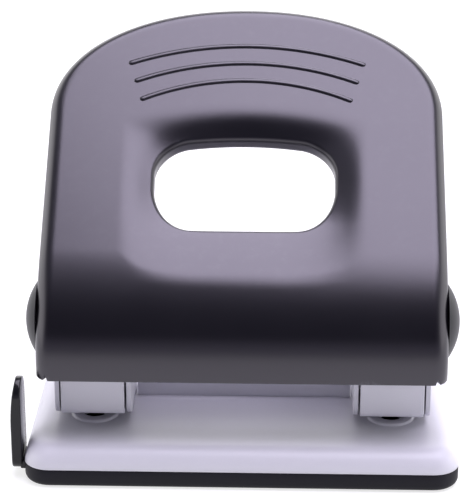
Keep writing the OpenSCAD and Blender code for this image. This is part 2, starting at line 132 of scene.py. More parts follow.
def boxForm(low, high):
    verts = [(x, y, z) for x in (low[0], high[0]) for y in (low[1], high[1]) for z in (low[2], high[2])]
    faces = [(0, 1, 3, 2), (4, 6, 7, 5), (0, 4, 5, 1), (2, 3, 7, 6), (0, 2, 6, 4), (1, 5, 7, 3)]
    return verts, faces


def strip(faces, lower, upper, closed):
    # quads between two rows of vertex numbers
    count = len(lower)
    for i in range(count if closed else count - 1):
        j = (i + 1) % count
        faces.append((lower[i], lower[j], upper[j], upper[i]))


def joinLoops(bm, lower, upper):
    # the same between two closed rows of bmesh vertices
    for i in range(len(lower)):
        j = (i + 1) % len(lower)
        bm.faces.new((lower[i], lower[j], upper[j], upper[i]))


def roundedOutline(half, front, rear, radius, steps):
    # points of a rounded rectangle, counter-clockwise
    points = []
    for turn, (cx, cy) in enumerate((
            (half - radius, rear - radius), (-half + radius, rear - radius),
            (-half + radius, front + radius), (half - radius, front + radius))):
        for k in range(steps + 1):
            a = math.radians(90 * turn + 90 * k / steps)
            points.append((cx + radius * math.cos(a), cy + radius * math.sin(a)))
    return points


def fillWithHoles(bm, loops):
    # a flat face inside the first loop, open inside the others
    edges = []
    for loop in loops:
        for i, vert in enumerate(loop):
            other = loop[(i + 1) % len(loop)]
            edges.append(bm.edges.get((vert, other)) or bm.edges.new((vert, other)))
    bmesh.ops.triangle_fill(bm, use_beauty=True, use_dissolve=False, edges=edges)


def newGroup(name, inputs, outputs):
    group = bpy.data.node_groups.new(name, "ShaderNodeTree")
    for label, kind, value in inputs:
        socket = group.interface.new_socket(name=label, in_out="INPUT", socket_type=kind)
        socket.default_value = value
    for label, kind in outputs:
        group.interface.new_socket(name=label, in_out="OUTPUT", socket_type=kind)
    return group, group.nodes.new("NodeGroupInput"), group.nodes.new("NodeGroupOutput")


def feed(tree, socket, value):
    # a plain number is set on the socket, anything else is linked to it
    if isinstance(value, (int, float)):
        socket.default_value = value
    else:
        tree.links.new(value, socket)


def calculate(tree, operation, a, b):
    node = tree.nodes.new("ShaderNodeMath")
    node.operation = operation
    feed(tree, node.inputs[0], a)
    feed(tree, node.inputs[1], b)
    return node.outputs[0]


def mapRange(tree, value, low, high, toLow=0.0, toHigh=1.0):
    # a smooth step from toLow to toHigh while value goes from low to high
    node = tree.nodes.new("ShaderNodeMapRange")
    node.interpolation_type = "SMOOTHSTEP"
    tree.links.new(value, node.inputs["Value"])
    for label, number in (("From Min", low), ("From Max", high), ("To Min", toLow), ("To Max", toHigh)):
        feed(tree, node.inputs[label], number)
    return node.outputs["Result"]


def noiseOf(tree, scale, detail=2.0, rough=0.5):
    # noise fixed to the object
    node = tree.nodes.new("ShaderNodeTexNoise")
    tree.links.new(tree.nodes.new("ShaderNodeTexCoord").outputs["Object"], node.inputs["Vector"])
    feed(tree, node.inputs["Scale"], scale)
    node.inputs["Detail"].default_value = detail
    node.inputs["Roughness"].default_value = rough
    return node.outputs["Fac"]


def makeGrainGroup():
    # fine sprayed grain, a mask around 0.5 and a height with slower waves in it
    group, given, made = newGroup("grain", [
        ("Scale", "NodeSocketFloat", 4000.0), ("Waviness", "NodeSocketFloat", 0.3)],
        [("Grain", "NodeSocketFloat"), ("Height", "NodeSocketFloat")])
    waveScale = 0.12        # of the grain's own scale
    fine = noiseOf(group, given.outputs["Scale"], detail=3.0, rough=0.6)
    coarse = noiseOf(group, calculate(group, "MULTIPLY", given.outputs["Scale"], waveScale))
    waves = calculate(group, "MULTIPLY", coarse, given.outputs["Waviness"])
    group.links.new(fine, made.inputs["Grain"])
    group.links.new(calculate(group, "ADD", fine, waves), made.inputs["Height"])
    return group


def makeWearGroup():
    # bright where an edge stands out, broken up by noise
    group, given, made = newGroup("edgeWear", [
        ("Start", "NodeSocketFloat", 0.53), ("End", "NodeSocketFloat", 0.60),
        ("Breakup", "NodeSocketFloat", 900.0)], [("Mask", "NodeSocketFloat")])
    edge = group.nodes.new("ShaderNodeNewGeometry").outputs["Pointiness"]
    worn = mapRange(group, edge, given.outputs["Start"], given.outputs["End"])
    patches = mapRange(group, noiseOf(group, given.outputs["Breakup"], detail=4.0, rough=0.65), 0.42, 0.62)
    group.links.new(calculate(group, "MULTIPLY", worn, patches), made.inputs["Mask"])
    return group


def makeSmudgeGroup():
    # large soft patches where hands have been, above and below zero
    group, given, made = newGroup("smudges", [
        ("Size", "NodeSocketFloat", 45.0), ("Amount", "NodeSocketFloat", 0.1)],
        [("Value", "NodeSocketFloat")])
    patches = noiseOf(group, given.outputs["Size"], detail=5.0, rough=0.6)
    centred = calculate(group, "SUBTRACT", patches, 0.5)
    group.links.new(calculate(group, "MULTIPLY", centred, given.outputs["Amount"]), made.inputs["Value"])
    return group


def makeDustGroup():
    # thin dust on faces that look up
    group, given, made = newGroup("dust", [
        ("Amount", "NodeSocketFloat", 0.1), ("Scale", "NodeSocketFloat", 300.0)],
        [("Mask", "NodeSocketFloat")])
    apart = group.nodes.new("ShaderNodeSeparateXYZ")
    group.links.new(group.nodes.new("ShaderNodeNewGeometry").outputs["Normal"], apart.inputs[0])
    level = mapRange(group, apart.outputs["Z"], 0.6, 1.0)
    specks = mapRange(group, noiseOf(group, given.outputs["Scale"], detail=6.0, rough=0.7), 0.45, 0.75)
    lying = calculate(group, "MULTIPLY", level, specks)
    group.links.new(calculate(group, "MULTIPLY", lying, given.outputs["Amount"]), made.inputs["Mask"])
    return group


grainGroup = makeGrainGroup()
wearGroup = makeWearGroup()
smudgeGroup = makeSmudgeGroup()
dustGroup = makeDustGroup()


def placeGroup(tree, group, **values):
    # one of the groups above in a material, with the material's own values
    node = tree.nodes.new("ShaderNodeGroup")
    node.node_tree = group
    for key, value in values.items():
        node.inputs[key].default_value = value
    return node


def mixColour(tree, factor, a, b):
    node = tree.nodes.new("ShaderNodeMix")
    node.data_type = "RGBA"
    feed(tree, node.inputs[0], factor)
    for socket, value in ((node.inputs[6], a), (node.inputs[7], b)):
        if isinstance(value, tuple):
            socket.default_value = (*value, 1.0)
        else:
            tree.links.new(value, socket)
    return node.outputs[2]


dustLook = {"colour": (0.55, 0.54, 0.52), "roughness": 0.4, "coatLoss": 0.5}


def makeFinish(name, spec):
    # a painted, moulded or bare finish with grain, smudges, edge wear and dust
    material = bpy.data.materials.new(name)
    material.use_nodes = True
    tree = material.node_tree
    shader = tree.nodes["Principled BSDF"]
    shader.inputs["Specular IOR Level"].default_value = spec.get("specular", 0.5)
    shader.inputs["Specular Tint"].default_value = (*spec.get("tint", (1.0, 1.0, 1.0)), 1)
    shader.inputs["Coat Roughness"].default_value = spec.get("coatRoughness", 0.1)
    shader.inputs["Anisotropic"].default_value = spec.get("anisotropic", 0.0)
    grain = placeGroup(tree, grainGroup, Scale=spec["grainScale"], Waviness=0.3)
    smudge = placeGroup(tree, smudgeGroup, Size=45.0, Amount=spec["smudge"])
    wear = placeGroup(tree, wearGroup, Start=0.53, End=0.62)
    dust = placeGroup(tree, dustGroup, Amount=spec["dust"])
    colour = mixColour(tree, grain.outputs["Grain"], spec["dark"], spec["light"])
    colour = mixColour(tree, calculate(tree, "MULTIPLY", wear.outputs["Mask"], spec["wear"]),
                       colour, spec.get("wornColour", spec["light"]))
    colour = mixColour(tree, dust.outputs["Mask"], colour, dustLook["colour"])
    tree.links.new(colour, shader.inputs["Base Color"])
    rough = calculate(tree, "ADD", smudge.outputs["Value"], spec["roughness"])
    dusty = calculate(tree, "MULTIPLY", dust.outputs["Mask"], dustLook["roughness"])
    tree.links.new(calculate(tree, "ADD", rough, dusty), shader.inputs["Roughness"])
    if "metal" in spec:                 # lowest and highest share of metal in the grain
        flakes = mapRange(tree, grain.outputs["Grain"], 0.35, 0.65, *spec["metal"])
        tree.links.new(flakes, shader.inputs["Metallic"])
    if "coat" in spec:
        dulled = calculate(tree, "MULTIPLY", dust.outputs["Mask"], dustLook["coatLoss"])
        tree.links.new(calculate(tree, "SUBTRACT", spec["coat"], dulled), shader.inputs["Coat Weight"])
    bump = tree.nodes.new("ShaderNodeBump")
    bump.inputs["Strength"].default_value = spec["bump"]
    bump.inputs["Distance"].default_value = spec.get("bumpDepth", 0.00002)
    tree.links.new(grain.outputs["Height"], bump.inputs["Height"])
    tree.links.new(bump.outputs["Normal"], shader.inputs["Normal"])
    return material


finishes = {
    "charcoalEnamel": {
        "dark": (0.0022, 0.0020, 0.0038), "light": (0.0042, 0.0038, 0.0064), "roughness": 0.29,
        "specular": 0.74, "tint": (0.95, 0.91, 1.0), "grainScale": 5200.0, "metal": (0.0, 0.02),
        "smudge": 0.05, "bump": 0.25, "bumpDepth": 0.00003, "wear": 0.25, "wornColour": (0.10, 0.10, 0.12),
        "dust": 0.02,
    },
    "lilacEnamel": {
        "dark": (0.57, 0.565, 0.625), "light": (0.62, 0.61, 0.67), "roughness": 0.38,
        "grainScale": 4200.0, "smudge": 0.08, "bump": 0.2, "wear": 0.3,
        "wornColour": (0.62, 0.62, 0.70), "dust": 0.02,
    },
    "trayPlastic": {
        "dark": (0.009, 0.0088, 0.012), "light": (0.014, 0.0135, 0.018), "roughness": 0.5, "specular": 0.16,
        "grainScale": 2600.0, "smudge": 0.12, "bump": 0.4, "wear": 0.2, "dust": 0.03,
    },
    "capPlastic": {
        "dark": (0.009, 0.009, 0.011), "light": (0.015, 0.015, 0.018), "roughness": 0.42, "specular": 0.2,
        "grainScale": 3000.0, "smudge": 0.1, "bump": 0.35, "wear": 0.3, "dust": 0.03,
    },
    "glossBlack": {
        "dark": (0.006, 0.006, 0.008), "light": (0.010, 0.010, 0.012), "roughness": 0.16, "specular": 0.22,
        "coat": 0.12, "coatRoughness": 0.06, "grainScale": 900.0, "smudge": 0.08, "bump": 0.05,
        "wear": 0.1, "dust": 0.02,
    },
    "brightSteel": {
        "dark": (0.52, 0.53, 0.55), "light": (0.66, 0.67, 0.69), "roughness": 0.22, "metal": (0.96, 1.0),
        "anisotropic": 0.4, "grainScale": 3500.0, "smudge": 0.15, "bump": 0.15, "wear": 0.0, "dust": 0.0,
    },
    "zincSteel": {
        "dark": (0.45, 0.46, 0.48), "light": (0.60, 0.61, 0.62), "roughness": 0.36, "metal": (0.9, 1.0),
        "grainScale": 1400.0, "smudge": 0.2, "bump": 0.25, "wear": 0.2, "wornColour": (0.7, 0.7, 0.72),
        "dust": 0.0,
    },
    "springSteel": {
        "dark": (0.30, 0.30, 0.32), "light": (0.46, 0.46, 0.47), "roughness": 0.28, "metal": (0.95, 1.0),
        "grainScale": 5000.0, "smudge": 0.2, "bump": 0.2, "wear": 0.0, "dust": 0.0,
    },
}
finish = {name: makeFinish(name, spec) for name, spec in finishes.items()}
print("finishes made,", len(finish))


dieRingHeight = 0.0006
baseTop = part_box("base_plate")[1].z - dieRingHeight      # the flat of the base, below its die rings

# the handle is one pressed sheet: a flat panel that bends over a brow into a nose
handle = {
    "half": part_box("handle_shell")[1].x,                 # outer half width
    "noseCentre": (0.0009, baseTop + 0.0217), "noseR": 0.0204,
    "browR": 0.0584, "browAngle": math.radians(62), "tilt": math.radians(39.5),
    "tuck": math.radians(97), "lowerEdge": baseTop + 0.0181,
    "panelLength": 0.079, "crownLength": 0.0348, "crownPower": 2.12,
    "edgeR": 0.004, "edgeSteps": 9, "sheet": 0.0015, "softEdge": 0.0003, "softAngle": 50,
    "rimDepth": 0.013, "rimFrom": 0.0316, "wallBack": 0.009, "wallCornerR": 0.005, "wallRows": 8,
    "columns": 400, "faceRings": 56, "ringCrowding": 1.2,
    # relief slits at the lower corners: row of the edge that they open, height, and the second point's rise
    "slitStep": 2, "slitHeight": 0.0018, "slitRise": 0.00015,
}
opening = {
    "halfWidth": 0.0243, "middle": 0.0219, "halfHeight": 0.0139, "arch": 0.0028,
    "upperCorner": (0.0094, 0.0083), "lowerCorner": (0.0101, 0.0129),
    "rollR": 0.0016, "rollSteps": 10, "depth": 0.0064, "flangeRows": 3,
}
scoop = {
    # outer half width, upper edge, and the flank's run at the sides and at the top
    "half": 0.0338, "top": 0.0475, "sideRun": 0.0095, "topRun": 0.0117, "topPower": 1.3, "cornerPower": 1.7,
    # share of the run where the flank is fully steep, and the run after which it is level again
    "full": 0.7, "level": 2.3, "meet": 0.0005,
    # depth of the floor under the panel's plane, from v to v, and the step that smooths it
    "floor": [(-0.030, 0.0002), (-0.0085, 0.0006), (0.0, 0.0017), (0.0065, 0.0029), (0.012, 0.0046),
              (0.020, 0.0063), (0.026, 0.0065), (0.09, 0.0065)],
    "smoothStep": 0.0005,
}


def panelFoot():
    # Y and Z of the panel's foot and of the brow's centre
    h = handle
    reach = h["browR"] - h["noseR"]
    browY = h["noseCentre"][0] + reach * math.sin(h["browAngle"])
    browZ = h["noseCentre"][1] - reach * math.cos(h["browAngle"])
    return (browY - h["browR"] * math.sin(h["tilt"]), browZ + h["browR"] * math.cos(h["tilt"]), browY, browZ)


footY, footZ, browY, browZ = panelFoot()


def onHandle(x, v, depth):
    # a point of the handle: v runs up the panel from its foot, and down round brow and nose below it
    h = handle
    browLength = h["browR"] * (h["browAngle"] - h["tilt"])
    noseLength = h["noseR"] * (h["tuck"] - h["browAngle"])
    if v >= 0:
        t = h["tilt"]
        y, z = footY + v * math.cos(t), footZ + v * math.sin(t)
    elif v >= -browLength:
        t = h["tilt"] - v / h["browR"]
        y, z = browY - h["browR"] * math.sin(t), browZ + h["browR"] * math.cos(t)
    else:
        t = min(h["browAngle"] - (v + browLength) / h["noseR"], h["tuck"])
        y = h["noseCentre"][0] - h["noseR"] * math.sin(t)
        z = h["noseCentre"][1] + h["noseR"] * math.cos(t)
        rest = v + browLength + noseLength
        if rest < 0:
            y, z = y + rest * math.cos(t), z + rest * math.sin(t)
    return Vector((x, y + depth * math.sin(t), z - depth * math.cos(t)))


# where the nose ends, at the height of the lower edge
bottomV = lastInside(lambda v: onHandle(0, v, 0).z < handle["lowerEdge"], -0.06, 0.0)
# direction of the face's lower right corner, seen from the finger hole's middle
cornerAngle = math.atan2(bottomV - opening["middle"], handle["half"] - handle["edgeR"])


def crownReach(dx, dv, fromV):
    # distance along a ray from (0, fromV) to the handle's outer outline
    h = handle
    centre = h["panelLength"] - h["crownLength"]

    def inside(reach):
        x, v = abs(dx * reach), fromV + dv * reach
        if v <= centre:
            return x < h["half"]
        p = h["crownPower"]
        return (x / h["half"]) ** p + ((v - centre) / h["crownLength"]) ** p < 1

    return lastInside(inside, 0.0, 0.2)


def outlineNormal(x, v):
    # outward direction of the outer outline
    h = handle
    centre = h["panelLength"] - h["crownLength"]
    if v <= centre:
        return (math.copysign(1, x), 0.0)
    p = h["crownPower"] - 1
    nx = math.copysign((abs(x) / h["half"]) ** p / h["half"], x)
    nv = ((v - centre) / h["crownLength"]) ** p / h["crownLength"]
    size = math.hypot(nx, nv)
    return (nx / size, nv / size)


def handleColumns():
    # angles of the columns round the finger hole: over the top from corner to corner, then underneath
    below = math.pi + 2 * cornerAngle
    lowCount = round(handle["columns"] * below / (2 * math.pi))
    highCount = handle["columns"] - lowCount
    over = [cornerAngle + (2 * math.pi - below) * k / highCount for k in range(highCount + 1)]
    under = [math.pi - cornerAngle + below * k / lowCount for k in range(1, lowCount)]
    return over, under


def cornerFall(x, corner):
    # how far the hole's edge falls away at x towards an elliptic corner
    u = max(0.0, (abs(x) - opening["halfWidth"] + corner[0]) / corner[0])
    return corner[1] * (1 - math.sqrt(max(0.0, 1 - u * u)))


def openingReach(angle):
    # the hole's outline in one direction from its middle
    o = opening
    c, s = math.cos(angle), math.sin(angle)

    def inside(reach):
        x, v = c * reach, s * reach
        roof = o["halfHeight"] - o["arch"] * (x / o["halfWidth"]) ** 2 - cornerFall(x, o["upperCorner"])
        sill = cornerFall(x, o["lowerCorner"]) - o["halfHeight"]
        return abs(x) < o["halfWidth"] and sill < v < roof

    reach = lastInside(inside, 0.0, 0.04)
    return c * reach, s * reach


def openingPoint(angle, turn=0.02):
    # point of the finger hole's outline and its outward direction, from a neighbour on each side
    x, v = openingReach(angle)
    ax, av = openingReach(angle - turn)
    bx, bv = openingReach(angle + turn)
    size = math.hypot(bx - ax, bv - av)
    return x, v + opening["middle"], (bv - av) / size, (ax - bx) / size


def floorDepth(v):
    points = scoop["floor"]
    v = min(max(v, points[0][0]), points[-1][0])
    for (v0, d0), (v1, d1) in zip(points, points[1:]):
        if v <= v1:
            return d0 + (d1 - d0) * (v - v0) / (v1 - v0)


def smoothFloor(v):
    # mean over eleven steps, so that the floor has no kinks
    return sum(floorDepth(v + scoop["smoothStep"] * k) for k in range(-5, 6)) / 11


def flankRise(n):
    # height of the hollow's flank after n runs: it eases in, goes straight and eases out
    full = scoop["full"]
    u = min(n / full, 1.0)
    straight = max(0.0, min(n, 1.0) - full)
    beyond = max(0.0, n - 1.0)
    return full * (u ** 3 - u ** 4 / 2) + straight + beyond - beyond ** 2 / (2 * (scoop["level"] - 1))


def scoopDepth(x, v):
    # depth of the hollow round the finger hole below the bent sheet
    c = scoop
    arch = opening["arch"] * (x / opening["halfWidth"]) ** 2
    across, down = (c["half"] - abs(x)) / c["sideRun"], (c["top"] - arch - v) / c["topRun"]
    if across <= 0 or down <= 0:
        return 0.0
    p = c["cornerPower"]
    n = min((across ** -p + down ** (-p * c["topPower"])) ** (-1 / p), c["level"])
    depth = smoothFloor(v) * flankRise(n) / flankRise(c["level"])
    sag = handle["browR"] * (1 - math.cos(min(0.0, v) / handle["browR"]))
    width = max(min(c["meet"], sag), 1e-9)          # the hollow's floor runs softly into the brow
    meet = max(width - abs(depth - sag), 0.0) / width
    return max(depth, sag) + meet ** 2 * width / 4 - sag


def openingColumn(x, v, nx, nv):
    # (distance out from the hole's edge, depth) from the hollow over the rolled edge to the flange's end
    o = opening
    r = o["rollR"]

    def depthAt(d):
        return scoopDepth(x + nx * d, v + nv * d)

    # the roll starts where it runs on from the hollow's own slope
    slope = math.atan((depthAt(0.5 * r) - depthAt(0.8 * r)) / (0.3 * r))
    slope = min(max(slope, 0.0), math.radians(50))
    startDepth = depthAt(r * (1 - math.sin(slope)))
    points = []
    for k in range(o["rollSteps"] + 1):
        a = slope + (math.pi / 2 - slope) * k / o["rollSteps"]
        points.append((r * (1 - math.sin(a)), startDepth + r * (math.cos(slope) - math.cos(a))))
    depth = points[-1][1]
    for k in range(1, o["flangeRows"] + 1):
        points.append((0.0, depth + (o["depth"] - depth) * k / o["flangeRows"]))
    return points


def wallEdge(v):
    # where a side wall ends below the outline at v, on Y and Z
    h = handle
    if v >= h["rimFrom"]:
        p = onHandle(0, v, h["rimDepth"])
        return p.y, p.z
    start = onHandle(0, bottomV, 0)
    knee = Vector((0, h["wallBack"], h["lowerEdge"]))
    end = onHandle(0, h["rimFrom"], h["rimDepth"])
    first = Vector((0, start.y + h["edgeR"], h["lowerEdge"]))
    lengthA, lengthB = (knee - first).length, (end - knee).length
    share = (v - bottomV) / (h["rimFrom"] - bottomV)
    along = share * (lengthA + lengthB)
    radius = h["wallCornerR"]
    if along < lengthA - radius:
        p = first.lerp(knee, along / lengthA)
    elif along > lengthA + radius:
        p = knee.lerp(end, (along - lengthA) / lengthB)
    else:                                     # rounded knee
        u = (along - lengthA + radius) / (2 * radius)
        a = knee + (first - knee).normalized() * radius
        b = knee + (end - knee).normalized() * radius
        p = a.lerp(knee, u).lerp(knee.lerp(b, u), u)
    return p.y, p.z


def outerEdge(angle):
    # point of the handle's outer outline and its outward direction
    h = handle
    middle = opening["middle"]
    dx, dv = math.cos(angle), math.sin(angle)
    reach = crownReach(dx, dv, middle)
    x, v = dx * reach, middle + dv * reach
    if v < middle:                  # drawn in, so that the last column stands at the lower edge
        v = middle + (v - middle) * (h["half"] - h["edgeR"]) / h["half"]
    return (x, v, *outlineNormal(x, v))


def lowerEdgePoint(angle):
    reach = (bottomV - opening["middle"]) / math.sin(angle)
    return math.cos(angle) * reach, bottomV


def faceRows(loop, hole):
    # rows of points from the flat's outline in to the hole, then over its rolled edge
    h = handle
    columns = [openingColumn(*place) for place in hole]
    collar = [(x + nx * column[0][0], v + nv * column[0][0])
              for (x, v, nx, nv), column in zip(hole, columns)]
    rows = []
    for k in range(h["faceRings"]):
        share = 1 - (1 - k / h["faceRings"]) ** h["ringCrowding"]
        places = [(a[0] + (b[0] - a[0]) * share, a[1] + (b[1] - a[1]) * share) for a, b in zip(loop, collar)]
        rows.append([onHandle(x, v, scoopDepth(x, v)) for x, v in places])
    for k in range(len(columns[0])):
        rows.append([onHandle(x + nx * column[k][0], v + nv * column[k][0], column[k][1])
                     for (x, v, nx, nv), column in zip(hole, columns)])
    return rows


def edgeRows(outer, inset):
    # rows of points over the rounded edge and down the side wall, with a slit at each lower corner
    h = handle
    rows = []
    for k in range(1, h["edgeSteps"] + 1):
        a = math.pi / 2 * k / h["edgeSteps"]
        out, depth = h["edgeR"] * math.sin(a), h["edgeR"] * (1 - math.cos(a))
        points = [onHandle(x + nx * out, v + nv * out, depth) for (x, v), (_, _, nx, nv) in zip(inset, outer)]
        if k == h["slitStep"]:
            for end, step in ((0, 1), (-1, -1)):
                x = inset[end][0] + math.copysign(out, inset[end][0])
                for i in range(2):
                    v = bottomV + h["slitHeight"] + h["slitRise"] * i
                    points[end + step * i] = onHandle(x, v, depth)
        rows.append(points)
    tops = rows[-1]
    ends = []
    for x, v, nx, nv in outer:
        if v >= h["rimFrom"]:
            ends.append(onHandle(x, v, h["rimDepth"]))
        else:
            ends.append(Vector((x, *wallEdge(v))))
    for k in range(1, h["wallRows"] + 1):
        rows.append([top.lerp(end, k / h["wallRows"]) for top, end in zip(tops, ends)])
    return rows


def pressHandle():
    h = handle
    over, under = handleColumns()
    outer = [outerEdge(a) for a in over]
    inset = [(x - nx * h["edgeR"], v - nv * h["edgeR"]) for x, v, nx, nv in outer]
    loop = inset + [lowerEdgePoint(a) for a in under]
    hole = [openingPoint(a) for a in over + under]
    verts, faces = [], []

    def addRow(points):
        verts.extend(points)
        return list(range(len(verts) - len(points), len(verts)))

    face = [addRow(points) for points in faceRows(loop, hole)]
    edge = [face[0][:len(outer)]] + [addRow(points) for points in edgeRows(outer, inset)]
    for a, b in zip(face, face[1:]):
        strip(faces, a, b, True)
    for a, b in zip(edge, edge[1:]):
        strip(faces, a, b, False)
    return addPiece("handleSkin", verts, faces, finish["charcoalEnamel"], "handle")


def finishHandleSkin(skin):
    # gives the sheet its thickness, inwards from the shown side
    highest = max(skin.data.polygons, key=lambda f: f.center.z)
    if highest.normal.z < 0:
        skin.data.flip_normals()
    shell = skin.modifiers.new("sheet", "SOLIDIFY")
    shell.thickness = handle["sheet"]
    shell.offset = -1
    shell.use_even_offset = False
    shell.use_quality_normals = True
    settle(skin)
    softenEdges(skin, handle["softEdge"], handle["softAngle"])
    settle(skin)
    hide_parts("handle_shell")


handleSkin = pressHandle()
finishHandleSkin(handleSkin)
print("handle pressed,", len(handleSkin.data.polygons), "faces")

ribs = {
    "count": 3, "radius": 0.089, "radiusStep": 0.011, "apex": 0.065, "pitch": 0.00575,
    "half": 0.0317, "halfStep": 0.0018, "width": 0.0021, "height": 0.00032, "sunk": 0.0004,
    "skirtDrop": 0.00002, "narrowest": 0.02, "along": 96, "across": 12,
}


def makeGripRibs():
    # shallow raised arcs that fade out at their round ends
    verts, faces = [], []
    for i in range(ribs["count"]):
        r = ribs["radius"] - ribs["radiusStep"] * i
        apex = ribs["apex"] - ribs["pitch"] * i
        reach = math.asin((ribs["half"] - ribs["halfStep"] * i) / r)
        endTurn = ribs["width"] / 2 / r
        rows = []
        for k in range(ribs["along"] + 1):
            a = -math.cos(math.pi * k / ribs["along"]) * (reach + endTurn)     # crowded towards the ends
            over = max(0.0, (abs(a) - reach) / endTurn)
            swell = math.sqrt(max(0.0, 1 - over * over))

            def ribPoint(u, depth):
                # u goes from -1 to 1 across the rib
                w = r + ribs["width"] / 2 * u * max(swell, ribs["narrowest"])
                return onHandle(w * math.sin(a), apex - r + w * math.cos(a), depth)

            ring = []
            for j in range(ribs["across"] + 1):
                u = -1 + 2 * j / ribs["across"]
                lift = ribs["height"] * math.cos(math.pi / 2 * u) ** 2 * swell - ribs["skirtDrop"]
                ring.append(ribPoint(u, -lift))
            ring += [ribPoint(1, ribs["sunk"]), ribPoint(-1, ribs["sunk"])]
            rows.append(list(range(len(verts), len(verts) + len(ring))))
            verts.extend(ring)
        for a, b in zip(rows, rows[1:]):
            strip(faces, a, b, True)
        faces.append(tuple(rows[0]))
        faces.append(tuple(reversed(rows[-1])))
    piece = addPiece("gripRibs", verts, faces, finish["charcoalEnamel"], "handle")


makeGripRibs()
print("grip ribs raised")


base = {
    "half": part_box("base_plate")[1].x, "front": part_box("base_plate")[0].y, "rear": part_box("base_plate")[1].y,
    "skirt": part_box("base_plate")[0].z, "top": baseTop, "sheet": 0.0012,
    "edgeR": 0.0055, "edgeSteps": 12, "cornerR": 0.007, "cornerSteps": 10,
    "cornerShrink": 0.9,            # how much the corner radius loses for each step in over the rolled edge
    "flatFrom": 0.0004,             # the flat starts this far inside the rolled edge
    "pinX": 0.040, "holeR": 0.00305, "ringR": 0.0063, "ringH": dieRingHeight, "holeSteps": 64,
}


def ringOutline(inset, z, corner):
    # the base's outline, drawn in, as points at one height
    half, front, rear = base["half"] - inset, base["front"] + inset, base["rear"] - inset
    return [(x, y, z) for x, y in roundedOutline(half, front, rear, corner, base["cornerSteps"])]


def baseRing(inset, z):
    return ringOutline(inset, z, base["cornerR"] - min(inset, base["edgeR"]) * base["cornerShrink"])


def circleAt(cx, cy, z, r):
    # points round a die ring or its hole
    steps = base["holeSteps"]
    return [(cx + r * math.cos(2 * math.pi * k / steps), cy + r * math.sin(2 * math.pi * k / steps), z)
            for k in range(steps)]


def dieRingProfile():
    # (radius, height over the flat) from outside over the raised ring and down through the hole
    b = base
    return [
        (b["ringR"] + 0.0003, 0.0), (b["ringR"], 0.0), (b["ringR"] - 0.00012, 0.00025),
        (b["ringR"] - 0.0003, 0.0005), (b["ringR"] - 0.0006, b["ringH"]),
        (b["holeR"] + 0.0005, b["ringH"]), (b["holeR"] + 0.00015, b["ringH"] - 0.00008),
        (b["holeR"], b["ringH"] - 0.0003), (b["holeR"], -b["sheet"]), (b["holeR"] + 0.0003, -b["sheet"]),
    ]


def makeBaseSkin():
    b = base
    inner = b["edgeR"] - b["sheet"]
    flat = b["edgeR"] + b["flatFrom"]
    rings = [baseRing(flat, b["top"] - b["sheet"])]
    for k in range(b["edgeSteps"] + 1):            # down the inside of the rolled edge
        a = math.pi / 2 * (1 - k / b["edgeSteps"])
        rings.append(baseRing(b["sheet"] + inner * (1 - math.cos(a)), b["skirt"] + inner * math.sin(a)))
    for k in range(b["edgeSteps"] + 1):            # and up the outside
        a = math.pi / 2 * k / b["edgeSteps"]
        rings.append(baseRing(b["edgeR"] * (1 - math.cos(a)), b["skirt"] + b["edgeR"] * math.sin(a)))
    rings.append(baseRing(flat, b["top"]))
    bm = bmesh.new()
    loops = [[bm.verts.new(p) for p in ring] for ring in rings]
    for lower, upper in zip(loops, loops[1:]):
        joinLoops(bm, lower, upper)
    topHoles, undersideHoles = [], []
    for side in (-1, 1):
        tube = [[bm.verts.new(p) for p in circleAt(side * b["pinX"], 0.0, b["top"] + z, r)]
                for r, z in dieRingProfile()]
        for lower, upper in zip(tube, tube[1:]):
            joinLoops(bm, lower, upper)
        topHoles.append(tube[0])
        undersideHoles.append(tube[-1])
    fillWithHoles(bm, [loops[-1]] + topHoles)
    fillWithHoles(bm, [loops[0]] + undersideHoles)
    piece = fromBmesh("baseSkin", bm, finish["lilacEnamel"], "base")
    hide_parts("base_plate")


tray = {
    "rim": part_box("chip_tray")[1].z - 0.0015, "lipTop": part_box("chip_tray")[1].z, "floor": 0.0012,
    "edgeR": 0.0018, "edgeSteps": 8, "softR": 0.0003, "flatFrom": 0.0005, "lipIn": 0.00155, "wall": 0.00235,
    # the notch that lets the ruler through: Y from and to, Z from, and how far it cuts past the wall
    "notch": {"y": (-0.0186, -0.0084), "z": 0.0023, "outside": 0.002, "inside": 0.001, "top": 0.02},
}


def trayRing(inset, z, corner=None):
    # the corner radius shrinks with the inset, unless another loss is given
    return ringOutline(inset, z, base["cornerR"] - (inset if corner is None else corner))


